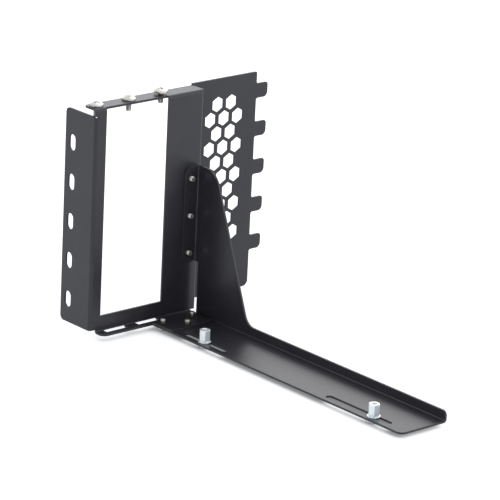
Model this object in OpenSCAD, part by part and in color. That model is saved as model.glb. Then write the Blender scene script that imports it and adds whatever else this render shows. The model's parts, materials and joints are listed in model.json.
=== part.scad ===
// Vertical graphics card mount: a folded slot bracket, a long support tray
// with a gusset, and two sliding standoffs. Millimetres.
// +X runs along the slot face toward the case tabs, +Y is the rear, +Z is up,
// and the tray runs toward -Y. Z = 0 is the floor that the screw heads rest on.
// Sizes are measured from the outer front corner of the face and side flange;
// the finished mount is then moved to stand centred over the origin.

/* [Sheet] */
// thickness of both folded sheets
sheet_t = 1.0; // [0.8:0.1:1.5]
// inside radius of every fold
bend_in = 0.6; // [0.4:0.1:1.0]

/* [Slot face] */
// width of the slot face, outside of one fold to outside of the other
face_w = 69.0; // [66:0.5:80]
// floor to the top of the card screw flange
frame_top = 119.6; // [112:0.5:128]
// floor to the top of the tongue strip
strip_top = 4.0; // [3.8:0.1:5]
// pitch of the expansion slots
slot_pitch = 20.32; // [20.32:0.01:20.32]
// left edge of the card window
window_x = 6.8; // [6:0.1:7.5]
// width of the card window
window_w = 39.3; // [38:0.1:41]
// floor to the bottom of the card window
window_z = 12.1; // [10:0.1:14]

/* [Card screw flange] */
// how far the flange reaches back
top_flange_d = 9.9; // [9:0.1:10]
// first card screw, measured along the face
card_screw_x = 4.35; // [4.2:0.05:4.6]
// card screws, measured back from the face
card_screw_y = 5.6; // [5:0.1:6]
// how far the third card screw stands proud
card_screw_raise = 1.0; // [0:0.1:1.5]

/* [Side flange] */
// how far the side flange reaches back
side_flange_d = 23.4; // [20:0.1:28]
// floor to the lower edge of the side flange
side_flange_z = 5.2; // [5:0.1:6]
// flange top down to the top of the side flange
side_flange_drop = 4.0; // [3.4:0.1:8]
// width of a fixing slot
fix_slot_w = 4.8; // [4:0.1:5.5]
// height of a fixing slot
fix_slot_h = 8.4; // [7:0.1:10]
// fixing slots, measured in from the rear edge
fix_slot_inset = 5.5; // [4.5:0.1:7]
// top of the side flange down to the first fixing slot
fix_slot_drop = 17.1; // [10:0.1:20]

/* [Tongue strip] */
// how far the strip reaches forward
strip_d = 5.7; // [5.2:0.1:6.5]
// left end of the strip
strip_x = 4.3; // [3.5:0.1:5]
// length of a tongue slot
tongue_slot_w = 13.6; // [12:0.1:15]
// front edge of a tongue slot, measured forward of the face
tongue_slot_d = 2.9; // [2.5:0.1:3.2]
// tongue slot centre, measured past its card screw
tongue_offset = 11.6; // [11.2:0.1:12]
// width of the ear that lies on the tray
ear_w = 27.6; // [24:0.1:27.7]
// right edge of the ear, measured in from the edge of the face
ear_inset = 3.8; // [3.7:0.1:4.4]
// how far the ear reaches forward
ear_d = 19.3; // [18.5:0.1:22]

/* [Honeycomb plate] */
// front of the plate, measured back from the face
plate_y = 10.2; // [10:0.1:14]
// width of the plate past the face, without its tabs
plate_w = 43.6; // [42:0.1:50]
// floor to the bottom of the plate
plate_z = 5.3; // [5:0.1:8]
// how far the plate rises over the card screw flange
plate_rise = 0.6; // [0:0.1:4]
// height of a case tab
tab_h = 7.7; // [7:0.1:9]
// length of a case tab
tab_l = 7.5; // [6:0.1:9]
// plate top down to the first tab
tab_drop = 6.35; // [5:0.05:8]
// hexagon hole, flat to flat
hex_af = 7.25; // [6:0.05:7.6]
// hexagon holes, centre to centre
hex_pitch = 8.96; // [8.6:0.02:9.1]
// plate top down to the first row of holes
hex_drop = 13.7; // [12:0.1:16]
// right edge of the plate to the middle of the holes
hex_inset = 21.0; // [19:0.1:23]

/* [Support tray] */
// length of the tray forward of the face
tray_l = 185.5; // [150:0.5:220]
// width of the tray, with its lip
tray_w = 29.5; // [28.5:0.1:29.5]
// outer face of the lip, measured in from the edge of the face
lip_inset = 1.6; // [1.4:0.1:1.8]
// height of the lip over the underside of the tray
lip_h = 5.9; // [4:0.1:10]
// floor to the top of the gusset
gusset_top = 80.8; // [60:0.1:100]
// where the gusset slope would meet the top, forward of the face
gusset_y = 13.9; // [12:0.1:20]
// how far the slope runs forward from top to lip
gusset_run = 28.8; // [20:0.1:40]
// floor to the lower end of the gusset flange
gusset_flange_z = 30.4; // [24:0.1:34]
// width of the gusset flange, with its fold
gusset_flange_w = 9.6; // [9.2:0.1:11]

/* [Fasteners] */
// thread size of every screw
screw_d = 3.0; // [3:0.1:3]
// head across, card screws
card_head_d = 7.1; // [6:0.1:7.6]
// length under the head, card screws
card_screw_l = 5.5; // [5:0.1:8]
// head across, joint screws
head_d = 5.6; // [5:0.1:5.8]
// head height, joint screws
head_h = 2.0; // [1.6:0.1:2]
// length under the head, tray screws
tray_screw_l = 4.4; // [4:0.1:6]
// length under the head, gusset screws
gusset_screw_l = 4.0; // [3.5:0.1:6]
// pitch of the gusset screws
gusset_screw_pitch = 19.5; // [15:0.1:19.5]
// nut across its flats
nut_af = 5.5; // [5.5:0.1:5.5]
// height of a nut
nut_h = 1.8; // [1.6:0.1:2]

/* [Standoffs] */
// standoffs, measured in from the left edge of the tray
post_inset = 4.5; // [4.2:0.1:5]
// width of a standoff slot
post_slot_w = 3.6; // [3.4:0.1:3.8]
// rear end of the slot near the face
slot_a_y0 = -24.3; // [-26:0.1:-24]
// front end of the slot near the face
slot_a_y1 = -55.4; // [-60:0.1:-50]
// rear end of the slot near the tip
slot_b_y0 = -129.3; // [-135:0.1:-120]
// front end of the slot near the tip, measured back from the tip
slot_b_tip = 11.6; // [8:0.1:16]
// standoff near the face
post_a_y = -38.7; // [-44:0.1:-32]
// standoff near the tip, measured back from the tip
post_b_tip = 23.6; // [20:0.1:30]
// standoff, flat to flat
post_af = 5.0; // [4.5:0.1:5.5]
// standoff height over its washer
post_h = 6.0; // [5:0.5:12]
// washer across
washer_d = 6.6; // [6.4:0.1:7]
// washer thickness
washer_t = 0.5; // [0.4:0.1:0.8]
// depth of the thread in the top of a standoff
post_bore_l = 4.5; // [3:0.1:4.8]
// how far a standoff's stud stands out under its nut
stud_proud = 0.2; // [0:0.1:1]

/* [Hidden] */
bend_out = bend_in + sheet_t;
tray_top = strip_top - sheet_t;
tray_bot = tray_top - sheet_t;
lip_top = tray_bot + lip_h;
relief = 0.4;
corner_top = frame_top - bend_out - relief;
side_flange_top = frame_top - side_flange_drop;
side_flange_h = side_flange_top - side_flange_z;
notch_h = 1.3;
notch_x = 1.1;
notch_drop = 0.6;
row_pitch = hex_pitch * sqrt(3) / 2;
hex_rows = 11;
first_fix_z = side_flange_top - fix_slot_drop;
ear_x1 = face_w - ear_inset;
ear_x = ear_x1 - ear_w;
plate_x1 = face_w + plate_w;
plate_top = frame_top + plate_rise;
hex_mid_x = plate_x1 - hex_inset;
lip_x = face_w - lip_inset;
tray_x = lip_x - tray_w;
gusset_flange_x = lip_x - gusset_flange_w;
post_x = tray_x + post_inset;
tab_z = plate_top - tab_drop;
wall_x = face_w - sheet_t;
gusset_screw_x = gusset_flange_x + 3.8;
gusset_screw_z = gusset_top - 6.1;
tray_screw_y = -8.0;
tray_screw_front = -15.9;
tray_screw_x1 = ear_x + 3.3;
tray_screw_x2 = ear_x1 - 5.2;
tray_screw_x3 = (tray_screw_x1 + tray_screw_x2) / 2;
tray_y1 = -tray_l;
tray_y0 = -2.0;
slot_b_y1 = tray_y1 + slot_b_tip;
post_b_y = tray_y1 + post_b_tip;
gusset_relief_y = -3.6;
gusset_y1 = -gusset_y - gusset_run;
slope_len = sqrt(gusset_run * gusset_run + (gusset_top - lip_top) * (gusset_top - lip_top));
slope_y = -gusset_run / slope_len;
slope_z = -(gusset_top - lip_top) / slope_len;
slope_half = acos(slope_y) / 2;
crown_r = 11.5;
crown_tl = crown_r / tan(slope_half);
foot_r = 7;
foot_tl = foot_r / tan(slope_half);
hole_d = screw_d + 0.2;
shank_d = screw_d - 0.05;
nut_hole_d = screw_d + 0.05;
bore_d = screw_d - 0.4;
stud_l = washer_t + sheet_t + nut_h + stud_proud;
crown = 0.25;
origin_x = (plate_x1 + tab_l) / 2;
origin_y = (side_flange_d - tray_l) / 2;
eps = 0.01;
$fn = 64;

black = [0.16, 0.16, 0.17];
steel = [0.78, 0.77, 0.74];
zinc = [0.80, 0.84, 0.88];

// moves the finished mount so that it stands over the origin
module placed() {
    translate([-origin_x, -origin_y, 0])
        children();
}

// a quarter of a ring about the origin, in the quadrant that the signs name
module fold(sx, sy) {
    intersection() {
        difference() {
            circle(r = bend_out);
            circle(r = bend_in);
        }
        translate([sx > 0 ? 0 : -bend_out, sy > 0 ? 0 : -bend_out])
            square(bend_out);
    }
}

// what is cut from a square corner at the origin to round it
module corner(r, sx, sy) {
    difference() {
        translate([sx > 0 ? -r : -1, sy > 0 ? -r : -1])
            square(r + 1);
        translate([-sx * r, -sy * r])
            circle(r = r);
    }
}

// a slot with round ends, centred, long along Y
module obround(w, l) {
    square([w, l - w], center = true);
    translate([0, (l - w) / 2])
        circle(d = w);
    translate([0, -(l - w) / 2])
        circle(d = w);
}

// puts a drawing of Y and Z into the X direction, from x to x + t
module along_x(x, t) {
    translate([x, 0, 0])
        rotate([90, 0, 90])
            linear_extrude(height = t)
                children();
}

// puts a drawing of X and Z into the Y direction, from y back to y + t
module along_y(y, t) {
    translate([0, y + t, 0])
        rotate([90, 0, 0])
            linear_extrude(height = t)
                children();
}

// relief where the folds of the flanges meet, drawn in X and Z
module corner_notch() {
    translate([-1, side_flange_top - notch_drop])
        square([1 + notch_x, notch_h]);
    translate([notch_x, side_flange_top - notch_drop + notch_h / 2])
        circle(d = notch_h);
}

// side flange with its fixing slots, and the fold that joins it to the face
module side_flange() {
    difference() {
        translate([0, 0, side_flange_z])
            linear_extrude(height = side_flange_h) {
                translate([0, bend_out - eps])
                    square([sheet_t, side_flange_d - bend_out + eps]);
                translate([bend_out, bend_out])
                    fold(-1, -1);
            }
        along_x(-1, sheet_t + 2) {
            translate([side_flange_d, side_flange_top])
                corner(2.5, 1, 1);
            translate([side_flange_d, side_flange_z])
                corner(2.6, 1, -1);
            for (i = [0 : 4])
                translate([side_flange_d - fix_slot_inset, first_fix_z - i * slot_pitch])
                    obround(fix_slot_w, fix_slot_h);
        }
        along_y(-1, bend_out + 1)
            corner_notch();
    }
}

// the flat slot face, drawn in X and Z
module face_outline() {
    difference() {
        union() {
            translate([bend_out - eps, side_flange_z])
                square([face_w - 2 * bend_out + 2 * eps, corner_top - side_flange_z]);
            translate([0, side_flange_top])
                square([face_w - bend_out, frame_top - bend_out - side_flange_top]);
            translate([0, corner_top - 1])
                square([face_w - bend_out, bend_out - relief]);
            translate([strip_x, strip_top + bend_in - eps])
                square([ear_x1 - strip_x, 3]);
            translate([ear_x1 - eps, strip_top + 0.2])
                square([face_w - bend_out - ear_x1 + 2 * eps, 3]);
            translate([face_w - bend_out - 1, corner_top + relief - eps])
                square([bend_out + 1, eps * 2]);
        }
        translate([window_x, window_z])
            square([window_w, frame_top]);
        corner_notch();
        for (i = [0 : 2])
            translate([gusset_screw_x, gusset_screw_z - i * gusset_screw_pitch])
                circle(d = hole_d);
    }
}

// flange for the card screws, with its fold along the top of the face
module card_screw_flange() {
    difference() {
        union() {
            along_x(0, face_w)
                translate([bend_out, frame_top - bend_out])
                    fold(-1, 1);
            translate([0, 0, frame_top - sheet_t])
                linear_extrude(height = sheet_t)
                    difference() {
                        translate([0, bend_out - eps])
                            square([face_w, top_flange_d - bend_out + eps]);
                        translate([0, top_flange_d])
                            corner(2, -1, 1);
                    }
        }
        translate([window_x, -1, frame_top - bend_out - 1])
            cube([window_w, 2.2, bend_out + 2]);
        for (i = [0 : 2])
            translate([card_screw_x + i * slot_pitch, card_screw_y, frame_top - 3])
                cylinder(d = hole_d, h = 5);
    }
}

// strip with the tongue slots, and the ear that lies on the tray
module tongue_strip() {
    difference() {
        union() {
            along_x(strip_x, ear_x1 - strip_x)
                translate([-bend_in, strip_top + bend_in])
                    fold(1, -1);
            translate([0, 0, strip_top - sheet_t])
                linear_extrude(height = sheet_t)
                    difference() {
                        union() {
                            translate([strip_x, -strip_d])
                                square([ear_x1 - strip_x, strip_d - bend_in + eps]);
                            translate([ear_x, -ear_d])
                                square([ear_x1 - ear_x, ear_d - 1]);
                            translate([ear_x - 2.5, -strip_d - 2.5])
                                difference() {
                                    square(2.5 + eps);
                                    circle(r = 2.5);
                                }
                        }
                        translate([strip_x, -strip_d])
                            corner(3.5, -1, -1);
                        translate([ear_x, -ear_d])
                            corner(2.5, -1, -1);
                        translate([ear_x1, -ear_d])
                            corner(1.5, 1, -1);
                    }
        }
        for (i = [0 : 1])
            translate([card_screw_x + tongue_offset + i * slot_pitch - tongue_slot_w / 2, 0, 0])
                tongue_cut();
        for (p = [[tray_screw_x1, tray_screw_y], [tray_screw_x2, tray_screw_y], [tray_screw_x3, tray_screw_front]])
            translate([p[0], p[1], strip_top - 3])
                cylinder(d = hole_d, h = 5);
    }
}

// cut for one card tongue, through the strip and its fold
module tongue_cut() {
    translate([0, 0, strip_top - sheet_t - 1])
        linear_extrude(height = sheet_t + 1)
            difference() {
                translate([0, -tongue_slot_d])
                    square([tongue_slot_w, tongue_slot_d + sheet_t + 1]);
                translate([0, -tongue_slot_d])
                    corner(0.8, -1, -1);
                translate([tongue_slot_w, -tongue_slot_d])
                    corner(0.8, 1, -1);
            }
    translate([0, -tongue_slot_d, strip_top - 0.1])
        cube([tongue_slot_w, tongue_slot_d, 0.25]);
}

// wall behind the face and the honeycomb plate that it carries
module return_wall() {
    translate([0, 0, strip_top + 0.2])
        linear_extrude(height = corner_top - strip_top - 0.2)
            translate([face_w - bend_out, bend_out])
                fold(1, -1);
    translate([0, 0, plate_z])
        linear_extrude(height = corner_top - plate_z) {
            translate([wall_x, bend_out - eps])
                square([sheet_t, plate_y - bend_in - bend_out + 2 * eps]);
            translate([face_w + bend_in, plate_y - bend_in])
                fold(-1, 1);
        }
}

// outline of one case tab from the plate edge, its top at the origin
module case_tab() {
    difference() {
        translate([-1, -tab_h])
            square([tab_l + 1, tab_h]);
        translate([tab_l, 0])
            corner(1.4, 1, 1);
        translate([tab_l, -tab_h])
            corner(2.6, 1, -1);
    }
    difference() {
        translate([-eps, -eps])
            square(1);
        translate([1, 1])
            circle(r = 1);
    }
    difference() {
        translate([-eps, -tab_h - 1 + eps])
            square(1);
        translate([1, -tab_h - 1])
            circle(r = 1);
    }
}

// the honeycomb plate with its tabs
module honeycomb_plate() {
    along_y(plate_y, sheet_t)
        difference() {
            union() {
                translate([face_w + bend_in - eps, plate_z])
                    square([plate_x1 - face_w - bend_in + eps, plate_top - plate_z]);
                for (i = [0 : 4])
                    translate([plate_x1, tab_z - i * slot_pitch])
                        case_tab();
            }
            translate([plate_x1, plate_z])
                corner(3.2, 1, -1);
            translate([plate_x1, plate_top])
                corner(1.0, 1, 1);
            for (r = [0 : hex_rows - 1])
                for (c = [0 : 1 + r % 2])
                    translate([hex_mid_x + (c - (1 + r % 2) / 2) * hex_pitch, plate_top - hex_drop - r * row_pitch])
                        rotate(30)
                            circle(d = hex_af * 2 / sqrt(3), $fn = 6);
        }
}

// the whole slot bracket, one folded sheet
module slot_bracket() {
    color(black) placed() {
        side_flange();
        along_y(0, sheet_t)
            face_outline();
        card_screw_flange();
        tongue_strip();
        return_wall();
        honeycomb_plate();
    }
}

// lip and gusset, drawn in Y and Z over the fold of the tray
module gusset_outline() {
    difference() {
        union() {
            translate([tray_y1, tray_bot + bend_out - eps])
                square([-tray_y1 + gusset_relief_y, lip_top - tray_bot - bend_out + eps]);
            intersection() {
                union() {
                    polygon([[0, gusset_flange_z],
                             [gusset_relief_y, gusset_flange_z],
                             [gusset_relief_y, lip_top - eps],
                             [gusset_y1, lip_top - eps],
                             [gusset_y1, lip_top],
                             [-gusset_y + slope_y * crown_tl, gusset_top + slope_z * crown_tl],
                             [-gusset_y + crown_tl, gusset_top],
                             [0, gusset_top]]);
                    translate([-gusset_y + crown_tl, gusset_top - crown_r])
                        circle(r = crown_r);
                }
                translate([gusset_y1 - 5, 0])
                    square([-gusset_y1 + 5 - 1.2, gusset_top + 1]);
            }
            difference() {
                polygon([[gusset_y1 + 0.02, lip_top - eps],
                         [gusset_y1 - slope_y * foot_tl, lip_top - slope_z * foot_tl],
                         [gusset_y1 - foot_tl, lip_top + foot_r],
                         [gusset_y1 - foot_tl, lip_top - eps]]);
                translate([gusset_y1 - foot_tl, lip_top + foot_r])
                    circle(r = foot_r);
            }
        }
        translate([tray_y1, lip_top])
            corner(2.6, -1, 1);
        translate([-bend_out, gusset_flange_z])
            square([bend_out + 1, gusset_top]);
    }
}

// flange of the gusset that lies on the slot face, with its fold
module gusset_flange() {
    difference() {
        translate([0, 0, gusset_flange_z])
            linear_extrude(height = gusset_top - gusset_flange_z) {
                translate([gusset_flange_x, -sheet_t])
                    square([lip_x - bend_out - gusset_flange_x + eps, sheet_t]);
                translate([lip_x - bend_out, -bend_out])
                    fold(1, 1);
            }
        along_y(-sheet_t - 1, sheet_t + 2) {
            translate([gusset_flange_x, gusset_top])
                corner(3.6, -1, 1);
            translate([gusset_flange_x, gusset_flange_z])
                corner(1.0, -1, -1);
            for (i = [0 : 2])
                translate([gusset_screw_x, gusset_screw_z - i * gusset_screw_pitch])
                    circle(d = hole_d);
        }
    }
}

// the flat of the tray with its slots
module tray_flat() {
    translate([0, 0, tray_bot])
        linear_extrude(height = sheet_t)
            difference() {
                translate([tray_x, tray_y1])
                    square([lip_x - bend_out - tray_x + eps, tray_y0 - tray_y1]);
                translate([tray_x, tray_y1])
                    corner(3.2, -1, -1);
                translate([post_x, (slot_a_y0 + slot_a_y1) / 2])
                    obround(post_slot_w, slot_a_y0 - slot_a_y1);
                translate([post_x, (slot_b_y0 + slot_b_y1) / 2])
                    obround(post_slot_w, slot_b_y0 - slot_b_y1);
                for (p = [[tray_screw_x1, tray_screw_y], [tray_screw_x2, tray_screw_y], [tray_screw_x3, tray_screw_front]])
                    translate(p)
                        circle(d = hole_d);
            }
}

// the whole support tray, one folded sheet
module support_tray() {
    color(black) placed() {
        tray_flat();
        translate([0, gusset_relief_y, 0])
            rotate([90, 0, 0])
                linear_extrude(height = -tray_y1 + gusset_relief_y)
                    translate([lip_x - bend_out, tray_bot + bend_out])
                        fold(1, -1);
        along_x(lip_x - sheet_t, sheet_t)
            gusset_outline();
        gusset_flange();
    }
}

// a screw pointing down, the underside of its head at the origin
module screw(hd, hh, l) {
    difference() {
        union() {
            translate([0, 0, -l])
                cylinder(d = shank_d, h = l + eps);
            cylinder(d = hd, h = hh * 0.4);
            intersection() {
                translate([0, 0, hh + crown - hd * 0.75])
                    sphere(d = hd * 1.5);
                cylinder(d = hd - 0.3, h = hh);
            }
        }
        translate([0, 0, hh - 0.55])
            cube([hd * 0.5, 0.75, 1.4], center = true);
        translate([0, 0, hh - 0.55])
            cube([0.75, hd * 0.5, 1.4], center = true);
    }
}

// a card screw, i slots along the flange
module card_screw(i, up, turn) {
    color(steel) placed()
        translate([card_screw_x + i * slot_pitch, card_screw_y, frame_top + up])
            rotate([0, 0, turn])
                screw(card_head_d, 2.2, card_screw_l);
}

module card_screw_1() {
    card_screw(0, 0, 20);
}

module card_screw_2() {
    card_screw(1, 0, 52);
}

module card_screw_3() {
    card_screw(2, card_screw_raise, 75);
}

// a gusset screw from behind the face, i pitches down
module gusset_screw(i, turn) {
    color(steel) placed()
        translate([gusset_screw_x, sheet_t, gusset_screw_z - i * gusset_screw_pitch])
            rotate([-90, 0, 0])
                rotate([0, 0, turn])
                    screw(head_d, head_h, gusset_screw_l);
}

module gusset_screw_top() {
    gusset_screw(0, 12);
}

module gusset_screw_middle() {
    gusset_screw(1, 38);
}

module gusset_screw_bottom() {
    gusset_screw(2, 67);
}

// a tray screw from below
module tray_screw(x, y, turn) {
    color(steel) placed()
        translate([x, y, tray_bot])
            rotate([180, 0, turn])
                screw(head_d, head_h, tray_screw_l);
}

module tray_screw_left() {
    tray_screw(tray_screw_x1, tray_screw_y, 15);
}

module tray_screw_right() {
    tray_screw(tray_screw_x2, tray_screw_y, 44);
}

module tray_screw_front() {
    tray_screw(tray_screw_x3, tray_screw_front, 70);
}

// a hexagon standoff: a threaded blind bore on top and a stud below
module standoff(y, turn) {
    color(zinc) placed()
        translate([post_x, y, tray_top + washer_t]) {
            difference() {
                intersection() {
                    rotate([0, 0, turn])
                        cylinder(d = post_af * 2 / sqrt(3), h = post_h, $fn = 6);
                    union() {
                        cylinder(d = post_af * 1.3, h = post_h - 0.5);
                        translate([0, 0, post_h - 0.5 - eps])
                            cylinder(d1 = post_af * 1.3, d2 = post_af * 0.92, h = 0.5 + eps);
                    }
                }
                translate([0, 0, post_h - post_bore_l])
                    cylinder(d = bore_d, h = post_bore_l + 1);
                translate([0, 0, post_h - post_bore_l - bore_d * 0.3 + eps])
                    cylinder(d1 = 0.2, d2 = bore_d, h = bore_d * 0.3);
                translate([0, 0, post_h - 0.35])
                    cylinder(d1 = bore_d, d2 = bore_d + 0.8, h = 0.4);
            }
            translate([0, 0, -stud_l + 0.3])
                cylinder(d = shank_d, h = stud_l - 0.3 + eps);
            translate([0, 0, -stud_l])
                cylinder(d1 = shank_d - 0.5, d2 = shank_d, h = 0.3 + eps);
        }
}

module standoff_rear() {
    standoff(post_a_y, -5);
}

module standoff_front() {
    standoff(post_b_y, -8);
}

// washer between a standoff and the tray
module washer(y) {
    color(zinc) placed()
        translate([post_x, y, tray_top])
            difference() {
                cylinder(d = washer_d, h = washer_t);
                translate([0, 0, -1])
                    cylinder(d = hole_d, h = washer_t + 2);
            }
}

module standoff_washer_rear() {
    washer(post_a_y);
}

module standoff_washer_front() {
    washer(post_b_y);
}

// nut that clamps a standoff from under the tray
module post_nut(y, turn) {
    color(zinc) placed()
        translate([post_x, y, tray_bot - nut_h])
            difference() {
                intersection() {
                    rotate([0, 0, turn])
                        cylinder(d = nut_af * 2 / sqrt(3), h = nut_h, $fn = 6);
                    union() {
                        cylinder(d1 = nut_af * 0.96, d2 = nut_af * 0.96 + 1.4, h = 0.4);
                        translate([0, 0, 0.4 - eps])
                            cylinder(d1 = nut_af * 0.96 + 1.4, d2 = nut_af * 1.3, h = 0.2);
                        translate([0, 0, 0.5])
                            cylinder(d = nut_af * 1.3, h = nut_h);
                    }
                }
                translate([0, 0, -1])
                    cylinder(d = nut_hole_d, h = nut_h + 2);
            }
}

module standoff_nut_rear() {
    post_nut(post_a_y, 14);
}

module standoff_nut_front() {
    post_nut(post_b_y, 41);
}

slot_bracket();
support_tray();
card_screw_1();
card_screw_2();
card_screw_3();
gusset_screw_top();
gusset_screw_middle();
gusset_screw_bottom();
tray_screw_left();
tray_screw_right();
tray_screw_front();
standoff_rear();
standoff_front();
standoff_washer_rear();
standoff_washer_front();
standoff_nut_rear();
standoff_nut_front();
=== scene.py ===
# Vertical graphics card mount: looks, stage and camera.
# The sheet parts keep their solids and get a powder coat. The screws,
# standoffs, washers and nuts are made again here with threads and recesses.
import json
import math

import bpy
from mathutils import Matrix, Vector


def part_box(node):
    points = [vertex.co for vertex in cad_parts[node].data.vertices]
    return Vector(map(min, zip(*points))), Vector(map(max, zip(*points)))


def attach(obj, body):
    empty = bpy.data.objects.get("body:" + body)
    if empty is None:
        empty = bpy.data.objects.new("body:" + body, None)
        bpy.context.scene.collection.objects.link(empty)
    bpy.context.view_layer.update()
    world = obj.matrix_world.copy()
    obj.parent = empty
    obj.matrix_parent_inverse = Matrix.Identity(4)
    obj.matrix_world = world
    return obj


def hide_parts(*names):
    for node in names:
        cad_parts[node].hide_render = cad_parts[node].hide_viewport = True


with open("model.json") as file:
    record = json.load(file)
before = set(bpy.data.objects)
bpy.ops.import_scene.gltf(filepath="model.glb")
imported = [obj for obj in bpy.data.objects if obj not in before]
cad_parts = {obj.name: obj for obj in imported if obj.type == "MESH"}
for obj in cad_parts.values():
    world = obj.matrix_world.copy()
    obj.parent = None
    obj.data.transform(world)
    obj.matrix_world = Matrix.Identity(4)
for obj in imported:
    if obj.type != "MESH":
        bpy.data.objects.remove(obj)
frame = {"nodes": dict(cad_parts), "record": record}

# One millimetre in metres. Pieces are drawn in millimetres around their own
# axis and become metres where the mesh is made.
MM = 0.001

# Sizes of the fasteners, in millimetres.
SEAT = 0.01             # left free on both sides of a washer, and over a nut
THREAD_D = 2.95         # M3, across the crests
THREAD_PITCH = 0.5
THREAD_DEPTH = 0.24
THREAD_FLANK = 2.6      # steepness of a tooth, which leaves its top flat
THREAD_GAP = 0.15       # lowers the tooth, which leaves the root flat
BORE_CREST_R = 1.30     # the standoff's bore, at its thread's crests
BORE_ROOT_R = 1.48
CARD_SCREW = dict(head_d=7.1, head_h=2.2, length=5.5, recess=2.0, thread_shade=0.2)
GUSSET_SCREW = dict(head_d=5.6, head_h=2.0, length=4.0, recess=1.45, thread_shade=1.0)
TRAY_SCREW = dict(head_d=5.6, head_h=2.0, length=4.4, recess=1.45, thread_shade=1.0)
TIP_BRIGHT = 0.5        # length of a shank's tip that stays bright
TIP_FADE = 1.2          # length over which the painted shade on the thread then grows to full
DOME = 0.75             # radius of a head's crown, as a share of the head's diameter
DOME_PRESS = 0.85       # the share of that crown's height that is left
CROSS_ARM = 0.27        # half width of a recess's arm, as a share of its half length
CROSS_DEPTH = 0.62      # depth of a recess, as a share of the head's height
STANDOFF_ACROSS = 5.0   # over two flats, as NUT_ACROSS is
STANDOFF_STUD = 3.5
STANDOFF_BORE = 4.5
WASHER_R = 3.3
WASHER_HOLE_R = 1.6
NUT_ACROSS = 5.5

# Fineness of the meshes: points around, and rows in one turn of a thread.
CROSS_POINTS = 80
HEX_POINTS = 96
WASHER_POINTS = 72
ROWS_PER_TURN = 10
SHARP_EDGE = math.radians(32.0)

NODES = frame["nodes"]
BODIES = {
    name: body
    for body, names in frame["record"]["behaviour"]["bodies"].items()
    for name in names
}
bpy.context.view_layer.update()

# Materials


def new_material(name):
    """A material with one principled shader, and its node tree."""
    mat = bpy.data.materials.new(name)
    mat.use_nodes = True
    tree = mat.node_tree
    tree.nodes.clear()
    out = tree.nodes.new("ShaderNodeOutputMaterial")
    shader = tree.nodes.new("ShaderNodeBsdfPrincipled")
    tree.links.new(shader.outputs["BSDF"], out.inputs["Surface"])
    return mat, tree, shader


def coords(tree):
    return tree.nodes.new("ShaderNodeTexCoord").outputs["Object"]


def noise(tree, vector, scale, detail):
    n = tree.nodes.new("ShaderNodeTexNoise")
    n.inputs["Scale"].default_value = scale
    n.inputs["Detail"].default_value = detail
    n.inputs["Roughness"].default_value = 0.55
    tree.links.new(vector, n.inputs["Vector"])
    return n.outputs["Fac"]


def ramp(tree, value, stops):
    """A colour ramp through stops of a position and a colour."""
    r = tree.nodes.new("ShaderNodeValToRGB")
    while len(r.color_ramp.elements) < len(stops):
        r.color_ramp.elements.new(0.5)
    for element, (position, colour) in zip(r.color_ramp.elements, stops):
        element.position = position
        element.color = (*colour, 1.0)
    tree.links.new(value, r.inputs["Fac"])
    return r.outputs["Color"]


def map_range(tree, value, from_lo, from_hi, to_lo, to_hi):
    m = tree.nodes.new("ShaderNodeMapRange")
    limits = {"From Min": from_lo, "From Max": from_hi, "To Min": to_lo, "To Max": to_hi}
    for key, limit in limits.items():
        m.inputs[key].default_value = limit
    tree.links.new(value, m.inputs["Value"])
    return m.outputs["Result"]


def math_node(tree, op, a, b):
    m = tree.nodes.new("ShaderNodeMath")
    m.operation = op
    for i, v in enumerate((a, b)):
        if isinstance(v, (int, float)):
            m.inputs[i].default_value = v
        else:
            tree.links.new(v, m.inputs[i])
    return m.outputs[0]


def mix_colour(tree, fac, a, b):
    """Mixes two colours. Sockets 6 and 7 of the node, and 2 of its outputs, are its colour ones."""
    m = tree.nodes.new("ShaderNodeMix")
    m.data_type = "RGBA"
    tree.links.new(fac, m.inputs[0])
    for i, v in ((6, a), (7, b)):
        if isinstance(v, tuple):
            m.inputs[i].default_value = (*v, 1.0)
        else:
            tree.links.new(v, m.inputs[i])
    return m.outputs[2]


def bump(tree, height, distance, strength, normal):
    b = tree.nodes.new("ShaderNodeBump")
    b.inputs["Distance"].default_value = distance
    b.inputs["Strength"].default_value = strength
    tree.links.new(height, b.inputs["Height"])
    tree.links.new(normal, b.inputs["Normal"])
    return b.outputs["Normal"]


def edge_mask(tree, radius):
    """0 on a flat, rising toward 1 within radius of an edge; and the rounded normal."""
    bevel = tree.nodes.new("ShaderNodeBevel")
    bevel.samples = 6
    bevel.inputs["Radius"].default_value = radius
    geo = tree.nodes.new("ShaderNodeNewGeometry")
    dot = tree.nodes.new("ShaderNodeVectorMath")
    dot.operation = "DOT_PRODUCT"
    tree.links.new(bevel.outputs["Normal"], dot.inputs[0])
    tree.links.new(geo.outputs["Normal"], dot.inputs[1])
    mask = map_range(tree, dot.outputs["Value"], 0.995, 0.75, 0.0, 1.0)
    return mask, bevel.outputs["Normal"]


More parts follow.
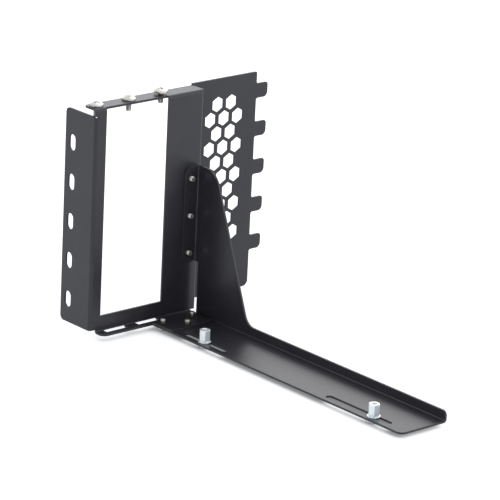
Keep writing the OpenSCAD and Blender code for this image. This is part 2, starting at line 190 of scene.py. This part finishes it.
def powder_coat():
    """Satin black powder coat: orange peel, a fine grain, and paler edges, which are partly rubbed
    coat and partly a painted edge highlight.
    """
    mat, tree, shader = new_material("black_powder_coat")
    position = coords(tree)
    edge, round_normal = edge_mask(tree, 0.22 * MM)
    cloud = noise(tree, position, 60.0, 4.0)
    grain = noise(tree, position, 1500.0, 2.0)
    fleck = noise(tree, position, 5200.0, 1.0)
    base = ramp(tree, cloud, [
        (0.30, (0.0225, 0.0225, 0.0285)),
        (0.72, (0.0310, 0.0310, 0.0385)),
    ])
    speck = map_range(tree, fleck, 0.60, 0.74, 0.0, 0.35)
    base = mix_colour(tree, speck, base, (0.058, 0.058, 0.064))
    # Paler edges: partly rubbed coat and partly a painted highlight along the edges.
    edge_variation = map_range(tree, cloud, 0.35, 0.65, 0.25, 0.75)
    edge_wear_and_highlight = math_node(tree, "MULTIPLY", edge, edge_variation)
    base = mix_colour(tree, edge_wear_and_highlight, base, (0.075, 0.075, 0.080))
    tree.links.new(base, shader.inputs["Base Color"])
    tree.links.new(map_range(tree, grain, 0.3, 0.7, 0.28, 0.36), shader.inputs["Roughness"])
    shader.inputs["IOR"].default_value = 1.47
    peel = bump(tree, grain, 0.012 * MM, 0.55, round_normal)
    tree.links.new(bump(tree, fleck, 0.004 * MM, 0.5, peel), shader.inputs["Normal"])
    return mat


def bright_steel():
    """Nickel-plated screw steel: warm, with fine turning lines and a few darker patches.
    Each point's value in the mesh darkens the threads behind the tip: this is painted shade."""
    mat, tree, shader = new_material("nickel_steel")
    position = coords(tree)
    edge, round_normal = edge_mask(tree, 0.10 * MM)
    patch = noise(tree, position, 420.0, 3.0)
    scratch = noise(tree, position, 3600.0, 2.0)
    base = ramp(tree, patch, [
        (0.32, (0.48, 0.465, 0.43)),
        (0.50, (0.62, 0.605, 0.57)),
        (0.75, (0.70, 0.69, 0.66)),
    ])
    base = mix_colour(tree, edge, base, (0.76, 0.75, 0.72))
    # Painted shade on the screws' threads, which each mesh carries as a value per point.
    shade_mark = tree.nodes.new("ShaderNodeAttribute")
    shade_mark.attribute_name = "thread_shade"
    base = mix_colour(tree, shade_mark.outputs["Fac"], base, (0.12, 0.115, 0.105))
    tree.links.new(base, shader.inputs["Base Color"])
    shader.inputs["Metallic"].default_value = 1.0
    tree.links.new(map_range(tree, patch, 0.3, 0.7, 0.28, 0.40), shader.inputs["Roughness"])
    tree.links.new(bump(tree, scratch, 0.004 * MM, 0.5, round_normal), shader.inputs["Normal"])
    return mat


def bright_zinc():
    """Clear zinc plate over steel: a cool tint that wanders, and a soft sheen."""
    mat, tree, shader = new_material("bright_zinc")
    position = coords(tree)
    edge, round_normal = edge_mask(tree, 0.12 * MM)
    tint = noise(tree, position, 260.0, 2.0)
    fine = noise(tree, position, 2600.0, 2.0)
    base = ramp(tree, tint, [
        (0.30, (0.78, 0.86, 0.90)),
        (0.52, (0.87, 0.92, 0.94)),
        (0.74, (0.92, 0.92, 0.94)),
    ])
    base = mix_colour(tree, edge, base, (0.96, 0.97, 0.98))
    tree.links.new(base, shader.inputs["Base Color"])
    shader.inputs["Metallic"].default_value = 0.8
    tree.links.new(map_range(tree, fine, 0.3, 0.7, 0.40, 0.50), shader.inputs["Roughness"])
    tree.links.new(bump(tree, fine, 0.004 * MM, 0.5, round_normal), shader.inputs["Normal"])
    return mat


COAT = powder_coat()
STEEL = bright_steel()
ZINC = bright_zinc()

for name in ("slot_bracket", "support_tray"):
    mesh = NODES[name].data
    for i in range(len(mesh.materials)):
        mesh.materials[i] = COAT

# Meshes


def mesh_object(name, points, faces, shade_marks=None):
    """A smooth mesh with sharp edges. Millimetres in, metres out."""
    mesh = bpy.data.meshes.new(name)
    mesh.from_pydata([Vector(p) * MM for p in points], [], faces)
    mesh.polygons.foreach_set("use_smooth", [True] * len(mesh.polygons))
    mesh.set_sharp_from_angle(angle=SHARP_EDGE)
    if shade_marks:
        mesh.attributes.new("thread_shade", "FLOAT", "POINT").data.foreach_set("value", shade_marks)
    mesh.update()
    obj = bpy.data.objects.new(name, mesh)
    bpy.context.scene.collection.objects.link(obj)
    return obj


def bands(rows, closed):
    """The faces between neighbouring rows, and between the last and the first if closed."""
    n = len(rows[0])
    faces = []
    for k in range(len(rows) if closed else len(rows) - 1):
        a, b = k * n, ((k + 1) % len(rows)) * n
        for i in range(n):
            j = (i + 1) % n
            faces.append((a + i, a + j, b + j, b + i))
    return faces


def capped(name, rows, thread_shade=None):
    """A closed mesh through rows of equally many points, with a fan at each end.
    The third argument gives each row a number of painted shade, which the steel reads to darken the
    thread."""
    n = len(rows[0])
    points = [p for row in rows for p in row]
    faces = bands(rows, closed=False)
    for row, base, flip in ((rows[0], 0, True), (rows[-1], (len(rows) - 1) * n, False)):
        centre = len(points)
        points.append(tuple(sum(p[c] for p in row) / n for c in range(3)))
        for i in range(n):
            first, second = base + i, base + (i + 1) % n
            faces.append((centre, second, first) if flip else (centre, first, second))
    shade_marks = [thread_shade[i // n] if thread_shade else 0.0 for i in range(len(rows) * n)]
    return mesh_object(name, points, faces, shade_marks + [0.0, 0.0])


def looped(name, rows):
    """A closed band through rows of equally many points: the last row joins the first."""
    return mesh_object(name, [p for row in rows for p in row], bands(rows, closed=True))


def ring(angles, radius, z):
    """One row: radius is a number or a function of the angle, and so is z of angle and radius."""
    row = []
    for a in angles:
        r = radius(a) if callable(radius) else radius
        row.append((r * math.cos(a), r * math.sin(a), z(a, r) if callable(z) else z))
    return row


def even_angles(count):
    return [2 * math.pi * i / count for i in range(count)]


def thread_rows(angles, z0, z1, crest, root, chamfer=0.0, start=0.0):
    """Rows of a thread from z0 to z1. Its height falls to nothing over chamfer at the z1 end."""
    steps = max(4, int(round(abs(z1 - z0) / THREAD_PITCH * ROWS_PER_TURN)))
    rows = []
    for k in range(steps + 1):
        z = z0 + (z1 - z0) * k / steps
        limit = 1.0 if chamfer <= 0 else min(1.0, abs(z1 - z) / chamfer)
        row = []
        for a in angles:
            t = ((z + start) / THREAD_PITCH - a / (2 * math.pi)) % 1.0
            tooth = min(1.0, max(0.0, (0.5 - abs(t - 0.5)) * THREAD_FLANK - THREAD_GAP))
            r = root + (crest - root) * min(tooth, limit)
            row.append((r * math.cos(a), r * math.sin(a), z))
        rows.append(row)
    return rows


# Turned pieces


def cross_angles(count, corner):
    """Even angles, with the nearest ones moved onto the corners of a cross."""
    angles = even_angles(count)
    for quarter in range(4):
        for side in (-1, 1):
            want = (quarter * math.pi / 2 + side * corner) % (2 * math.pi)
            k = min(range(count), key=lambda i: abs(angles[i] - want))
            angles[k] = want
    return sorted(angles)


def cross(half_length, half_width):
    """Radius of a cross recess at an angle."""
    def radius(a):
        phi = (a + math.pi / 4) % (math.pi / 2) - math.pi / 4
        end = half_length / math.cos(phi)
        side = half_width / max(1e-6, abs(math.sin(phi)))
        return min(end, side)
    return radius


def screw(name, head_d, head_h, length, recess, thread_shade):
    """A cross-recessed pan head with a threaded shank. The underside of the head is at the
    origin, and the shank goes down. recess is half the length of the cross."""
    arm = recess * CROSS_ARM
    angles = cross_angles(CROSS_POINTS, math.atan2(arm, recess))
    crest = THREAD_D / 2
    root = crest - THREAD_DEPTH
    ball = head_d * DOME
    flat_top = head_h - 0.02

    def crown(a, r):
        return flat_top - (ball - math.sqrt(max(0.0, ball * ball - r * r))) * DOME_PRESS

    # The shank, from its tip up, and its painted shade, which leaves the tip bright.
    rows = [ring(angles, crest * 0.35, -length)]
    rows += reversed(thread_rows(angles, -0.35, -length, crest, root, chamfer=0.45))
    above_tip = [row[0][2] + length for row in rows]
    shade_marks = [thread_shade * min(1.0, max(0.0, (up - TIP_BRIGHT) / TIP_FADE)) for up in above_tip]
    rows += [ring(angles, root + 0.05, -0.22),
             ring(angles, crest, -0.04),
             ring(angles, crest + 0.04, 0.0)]

    # The head's underside, rim and crown.
    rim = head_d / 2
    edge_z = crown(0, rim - 0.10)
    rows += [ring(angles, rim - 0.14, 0.0),
             ring(angles, rim - 0.03, 0.05),
             ring(angles, rim, 0.16),
             ring(angles, rim, max(0.24, edge_z - 0.16)),
             ring(angles, rim - 0.02, max(0.30, edge_z - 0.06)),
             ring(angles, rim - 0.10, crown)]
    for share in (0.90, 0.80, 0.70):
        if rim * share > recess + 0.12:
            rows.append(ring(angles, rim * share, crown))

    # The recess, which narrows on its way down.
    outline = cross(recess, arm)
    rows += [ring(angles, recess + 0.10, crown),
             ring(angles, lambda a: (recess + 0.10 + outline(a)) / 2, crown),
             ring(angles, lambda a: outline(a) + 0.03, crown),
             ring(angles, outline, lambda a, r: crown(a, r) - 0.03)]
    deep = head_h * CROSS_DEPTH
    for down, long, wide in ((0.35, 0.84, 0.94), (0.72, 0.62, 0.86), (1.0, 0.40, 0.78),
                             (1.12, 0.15, 0.5)):
        rows.append(ring(angles, cross(recess * long, arm * wide), head_h - deep * down))
    return capped(name, rows, thread_shade=shade_marks + [0.0] * (len(rows) - len(shade_marks)))


def hexagon(across):
    """Radius of a hexagon at an angle. across is its size over two flats."""
    def radius(a):
        phi = a % (math.pi / 3) - math.pi / 6
        return across / 2 / math.cos(phi)
    return radius


def hexagon_rows(angles, across, inner, degrees, height, land):
    """The outside of a hexagon prism from foot to top. Its ends slope away outside the radius
    inner, and land is the first straight piece of its sides."""
    six = hexagon(across)
    slope = math.tan(math.radians(degrees))

    def halfway(a):
        return (six(a) + inner) / 2

    def low(a, r):
        return max(0.0, (r - inner) * slope)

    def high(a, r):
        return height - max(0.0, (r - inner) * slope)

    return [ring(angles, inner, 0.0),
            ring(angles, halfway, low),
            ring(angles, six, low),
            ring(angles, six, lambda a, r: low(a, r) + land),
            ring(angles, six, lambda a, r: high(a, r) - land),
            ring(angles, six, high),
            ring(angles, halfway, high),
            ring(angles, inner, height)]


def standoff(name, height):
    """A hexagon standoff with a stud below and a threaded blind bore on top. Its foot is at
    the origin."""
    angles = even_angles(HEX_POINTS)
    crest = THREAD_D / 2
    root = crest - THREAD_DEPTH
    bore_end = height - STANDOFF_BORE
    rows = [ring(angles, crest * 0.35, -STANDOFF_STUD)]
    rows += reversed(thread_rows(angles, -0.30, -STANDOFF_STUD, crest, root, chamfer=0.40))
    rows += [ring(angles, root, -0.18),
             ring(angles, root + 0.06, 0.0)]
    rows += hexagon_rows(angles, STANDOFF_ACROSS, inner=STANDOFF_ACROSS * 0.475, degrees=32,
                         height=height, land=0.06)
    rows += [ring(angles, 1.66, height),
             ring(angles, 1.60, height - 0.04),
             ring(angles, 1.50, height - 0.14)]
    rows += thread_rows(angles, height - 0.16, bore_end, BORE_CREST_R, BORE_ROOT_R, start=0.2)
    rows += [ring(angles, 1.25, bore_end - 0.02),
             ring(angles, 0.25, bore_end - 0.60)]
    return capped(name, rows)


def nut(name, height):
    """A thin hexagon nut, chamfered on both faces, its thread filled by the stud. Its foot is
    at the origin."""
    angles = even_angles(HEX_POINTS)
    hole = THREAD_D / 2 + 0.05
    rows = [ring(angles, hole, 0.30),
            ring(angles, hole + 0.26, 0.0)]
    rows += hexagon_rows(angles, NUT_ACROSS, inner=NUT_ACROSS * 0.47, degrees=30,
                         height=height, land=0.05)
    rows += [ring(angles, hole + 0.26, height),
             ring(angles, hole, height - 0.30)]
    return looped(name, rows)


def washer(name, height):
    """A stamped flat washer with a rolled upper edge and a burr-free lower one."""
    angles = even_angles(WASHER_POINTS)
    rows = [ring(angles, WASHER_HOLE_R, 0.05),
            ring(angles, WASHER_HOLE_R + 0.05, 0.0),
            ring(angles, WASHER_R - 0.05, 0.0),
            ring(angles, WASHER_R, 0.05),
            ring(angles, WASHER_R, height - 0.14),
            ring(angles, WASHER_R - 0.04, height - 0.05),
            ring(angles, WASHER_R - 0.13, height),
            ring(angles, WASHER_HOLE_R + 0.08, height),
            ring(angles, WASHER_HOLE_R, height - 0.08)]
    return looped(name, rows)


# Placement

UPWARD = Matrix.Identity(4)
DOWNWARD = Matrix.Rotation(math.pi, 4, "X")
REARWARD = Matrix.Rotation(-math.pi / 2, 4, "X")


def place(obj, node, origin, degrees, facing, material):
    """Moves the mesh to where its solid is, and lets it ride on the solid's body."""
    spin = Matrix.Rotation(math.radians(degrees), 4, "Z")
    obj.data.transform(Matrix.Translation(origin) @ facing @ spin)
    obj.data.materials.append(material)
    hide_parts(node)
    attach(obj, BODIES[node])


def place_screw(node, size, origin, degrees, facing):
    piece = screw(node + "_threaded", **size)
    place(piece, node, origin, degrees, facing, STEEL)


def make_screws():
    """The screws, each with its own turn of the cross. A head's underside is found from the
    side of the solid's box where the head is."""
    for number, degrees in ((1, 20), (2, 52), (3, 75)):
        node = f"card_screw_{number}"
        lo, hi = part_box(node)
        mid = (lo + hi) / 2
        seat = Vector((mid.x, mid.y, hi.z - CARD_SCREW["head_h"] * MM))
        place_screw(node, CARD_SCREW, seat, degrees, UPWARD)
    for name, degrees in (("top", 12), ("middle", 38), ("bottom", 67)):
        node = f"gusset_screw_{name}"
        lo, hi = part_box(node)
        mid = (lo + hi) / 2
        seat = Vector((mid.x, hi.y - GUSSET_SCREW["head_h"] * MM, mid.z))
        place_screw(node, GUSSET_SCREW, seat, degrees, REARWARD)
    for name, degrees in (("left", 15), ("right", 44), ("front", 70)):
        node = f"tray_screw_{name}"
        lo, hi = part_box(node)
        mid = (lo + hi) / 2
        seat = Vector((mid.x, mid.y, lo.z + TRAY_SCREW["head_h"] * MM))
        place_screw(node, TRAY_SCREW, seat, degrees, DOWNWARD)


def place_zinc(piece, node, origin, degrees):
    place(piece, node, origin, degrees, UPWARD, ZINC)


def make_standoffs():
    """Each standoff with its washer and nut, on the standoff's axis."""
    for name, degrees, nut_degrees in (("rear", -5, 14), ("front", -8, 41)):
        node = f"standoff_{name}"
        lo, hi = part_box(node)
        mid = (lo + hi) / 2
        axis = Vector((mid.x, mid.y, 0))
        foot = lo.z + STANDOFF_STUD * MM
        piece = standoff(node + "_threaded", (hi.z - foot) / MM)
        place_zinc(piece, node, axis + Vector((0, 0, foot)), degrees)

        node = f"standoff_washer_{name}"
        lo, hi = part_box(node)
        piece = washer(node + "_pressed", (hi.z - lo.z) / MM - 2 * SEAT)
        place_zinc(piece, node, axis + Vector((0, 0, lo.z + SEAT * MM)), 0.0)

        node = f"standoff_nut_{name}"
        lo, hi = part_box(node)
        piece = nut(node + "_turned", (hi.z - lo.z) / MM - SEAT)
        place_zinc(piece, node, axis + Vector((0, 0, lo.z)), nut_degrees)


make_screws()
make_standoffs()

# Stage

# The floor's shade is ambient occlusion within SHADE_REACH, measured around the direction
# SHADE_LOOK. It is full where SHADE_FULL or less of the sky is open, and gone at SHADE_NONE.
FLOOR_HALF = 6.0
SHADE_REACH = 14 * MM
SHADE_LOOK = {"X": 0.62, "Y": -0.28, "Z": 0.73}
SHADE_FULL = 0.16
SHADE_NONE = 0.62
FLOOR_SHADED = (0.40, 0.41, 0.43)
FLOOR_OPEN = (0.86, 0.87, 0.89)
GLOW_SHADED = 0.17
GLOW_OPEN = 0.52
GLOW_MIRRORED = 0.34

# The world's strength is 1 where it is seen, which is white, and less where it lights.
SKY_COLOUR = (0.965, 0.975, 1.0, 1.0)
SKY_LIGHT = 0.72
SKY_SEEN = 1.0


def floor_material():
    """Pale and matte, with a glow that the camera and mirrors see. Both fade where a piece
    stands close, so the object keeps its shade on the floor."""
    mat = bpy.data.materials.new("pale_floor")
    mat.use_nodes = True
    tree = mat.node_tree
    tree.nodes.clear()
    out = tree.nodes.new("ShaderNodeOutputMaterial")
    matte = tree.nodes.new("ShaderNodeBsdfDiffuse")
    glow = tree.nodes.new("ShaderNodeEmission")
    path = tree.nodes.new("ShaderNodeLightPath")
    near = tree.nodes.new("ShaderNodeAmbientOcclusion")
    near.samples = 16
    near.inputs["Distance"].default_value = SHADE_REACH
    look = tree.nodes.new("ShaderNodeCombineXYZ")
    for axis, amount in SHADE_LOOK.items():
        look.inputs[axis].default_value = amount
    tree.links.new(look.outputs[0], near.inputs["Normal"])
    open_sky = map_range(tree, near.outputs["AO"], SHADE_FULL, SHADE_NONE, 0.0, 1.0)
    shade = mix_colour(tree, open_sky, FLOOR_SHADED, FLOOR_OPEN)
    tree.links.new(shade, matte.inputs["Color"])
    to_camera = map_range(tree, open_sky, 0.0, 1.0, GLOW_SHADED, GLOW_OPEN)
    seen = math_node(tree, "MULTIPLY", path.outputs["Is Camera Ray"], to_camera)
    to_mirror = math_node(tree, "MULTIPLY", open_sky, GLOW_MIRRORED)
    mirrored = math_node(tree, "MULTIPLY", path.outputs["Is Glossy Ray"], to_mirror)
    tree.links.new(math_node(tree, "ADD", seen, mirrored), glow.inputs["Strength"])
    add = tree.nodes.new("ShaderNodeAddShader")
    tree.links.new(matte.outputs[0], add.inputs[0])
    tree.links.new(glow.outputs[0], add.inputs[1])
    tree.links.new(add.outputs[0], out.inputs["Surface"])
    return mat


def make_floor():
    mesh = bpy.data.meshes.new("floor")
    s = FLOOR_HALF
    mesh.from_pydata([(-s, -s, 0), (s, -s, 0), (s, s, 0), (-s, s, 0)], [], [(0, 1, 2, 3)])
    obj = bpy.data.objects.new("floor", mesh)
    bpy.context.scene.collection.objects.link(obj)
    obj.data.materials.append(floor_material())


def make_world():
    """A white backdrop for the camera and for reflections, and a softer light on the object."""
    world = bpy.data.worlds.new("studio")
    bpy.context.scene.world = world
    world.use_nodes = True
    tree = world.node_tree
    tree.nodes.clear()
    out = tree.nodes.new("ShaderNodeOutputWorld")
    back = tree.nodes.new("ShaderNodeBackground")
    back.inputs["Color"].default_value = SKY_COLOUR
    path = tree.nodes.new("ShaderNodeLightPath")
    seen = math_node(tree, "MAXIMUM", path.outputs["Is Camera Ray"], path.outputs["Is Glossy Ray"])
    seen = math_node(tree, "MAXIMUM", seen, path.outputs["Is Transmission Ray"])
    strength = map_range(tree, seen, 0.0, 1.0, SKY_LIGHT, SKY_SEEN)
    tree.links.new(strength, back.inputs["Strength"])
    tree.links.new(back.outputs[0], out.inputs["Surface"])


def make_lamp(name, where, at, size, power):
    """An area lamp that stands at where and faces at. Metres and watts."""
    light = bpy.data.lights.new(name, "AREA")
    light.shape = "RECTANGLE"
    light.size, light.size_y = size
    light.energy = power
    obj = bpy.data.objects.new(name, light)
    obj.location = where
    obj.rotation_mode = "QUATERNION"
    obj.rotation_quaternion = (Vector(at) - Vector(where)).to_track_quat("-Z", "Y")
    bpy.context.scene.collection.objects.link(obj)


make_floor()
make_world()
make_lamp("overhead", where=(0.80, 0.30, 1.10), at=(0.0, 0.0, 0.05), size=(1.2, 1.2), power=4.0)
make_lamp("rear", where=(1.30, 1.45, 0.60), at=(0.0, 0.0, 0.06), size=(2.4, 1.15), power=8.3)
make_lamp("front", where=(1.15, -1.30, 0.55), at=(0.0, 0.0, 0.06), size=(1.0, 0.9), power=3.2)

# Camera

# The viewpoint, found from the slot pitch in the photograph. Metres, degrees and pixels.
CAMERA_AT = (-1.057563, -1.149304, 0.573765)
AZIMUTH, ELEVATION, ROLL = map(math.radians, (-41.847, 18.259, 2.788))
FOCAL_PIXELS = 3388.36
PHOTO_PIXELS = 500.0
SENSOR_WIDTH = 36.0


def make_camera():
    forward = Vector((-math.sin(AZIMUTH) * math.cos(ELEVATION),
                      math.cos(AZIMUTH) * math.cos(ELEVATION),
                      -math.sin(ELEVATION)))
    level = forward.cross(Vector((0, 0, 1))).normalized()
    above = level.cross(forward)
    right = level * math.cos(ROLL) + above * math.sin(ROLL)
    up = -level * math.sin(ROLL) + above * math.cos(ROLL)
    data = bpy.data.cameras.new("camera")
    data.sensor_width = SENSOR_WIDTH
    data.lens = FOCAL_PIXELS * SENSOR_WIDTH / PHOTO_PIXELS
    data.clip_start, data.clip_end = 0.05, 30.0
    obj = bpy.data.objects.new("camera", data)
    turn = Matrix((right, up, -forward)).transposed().to_4x4()
    obj.matrix_world = Matrix.Translation(CAMERA_AT) @ turn
    bpy.context.scene.collection.objects.link(obj)
    bpy.context.scene.camera = obj


make_camera()
bpy.context.scene.view_settings.view_transform = "Standard"
